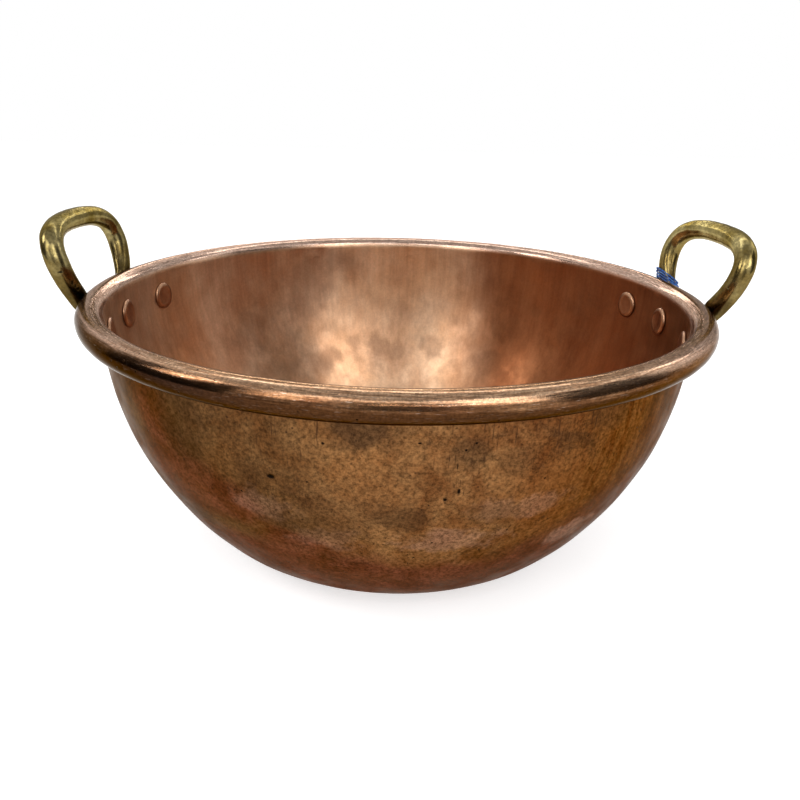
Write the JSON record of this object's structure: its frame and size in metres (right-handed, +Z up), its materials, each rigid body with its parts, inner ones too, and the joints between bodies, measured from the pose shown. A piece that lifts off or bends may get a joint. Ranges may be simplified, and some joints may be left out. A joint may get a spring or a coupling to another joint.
{
  "type": "chocolate pot",
  "caption": "Wide, deep open copper bowl with a wired rolled rim and riveted brass loop handles, for melting and cooking chocolate or sugar over a flame.",
  "frame": {"origin": "on the table, at the middle of the flat base and on the bowl's axis", "axes": "+Z up along the bowl's axis, +X towards the handle that carries the string, +Y to the back as pictured"},
  "size_m": [0.3991, 0.36, 0.1878],
  "materials": {
    "copper": "hand-beaten copper, browned by use and worn to a satin shine",
    "rivet_copper": "browned copper with worn edges",
    "brass": "cast, smoothed and tarnished to an olive gold",
    "iron_wire": "bare drawn iron",
    "blue_string": "matt plastic twine"
  },
  "bodies": {
    "root": {"bowl": "copper", "rim_wire": "iron_wire", "handle_right": "brass", "rivet_right_1": "rivet_copper", "rivet_right_2": "rivet_copper", "rivet_right_3": "rivet_copper", "handle_left": "brass", "rivet_left_1": "rivet_copper", "rivet_left_2": "rivet_copper", "rivet_left_3": "rivet_copper", "tag_string": "blue_string"}
  },
  "joints": []
}
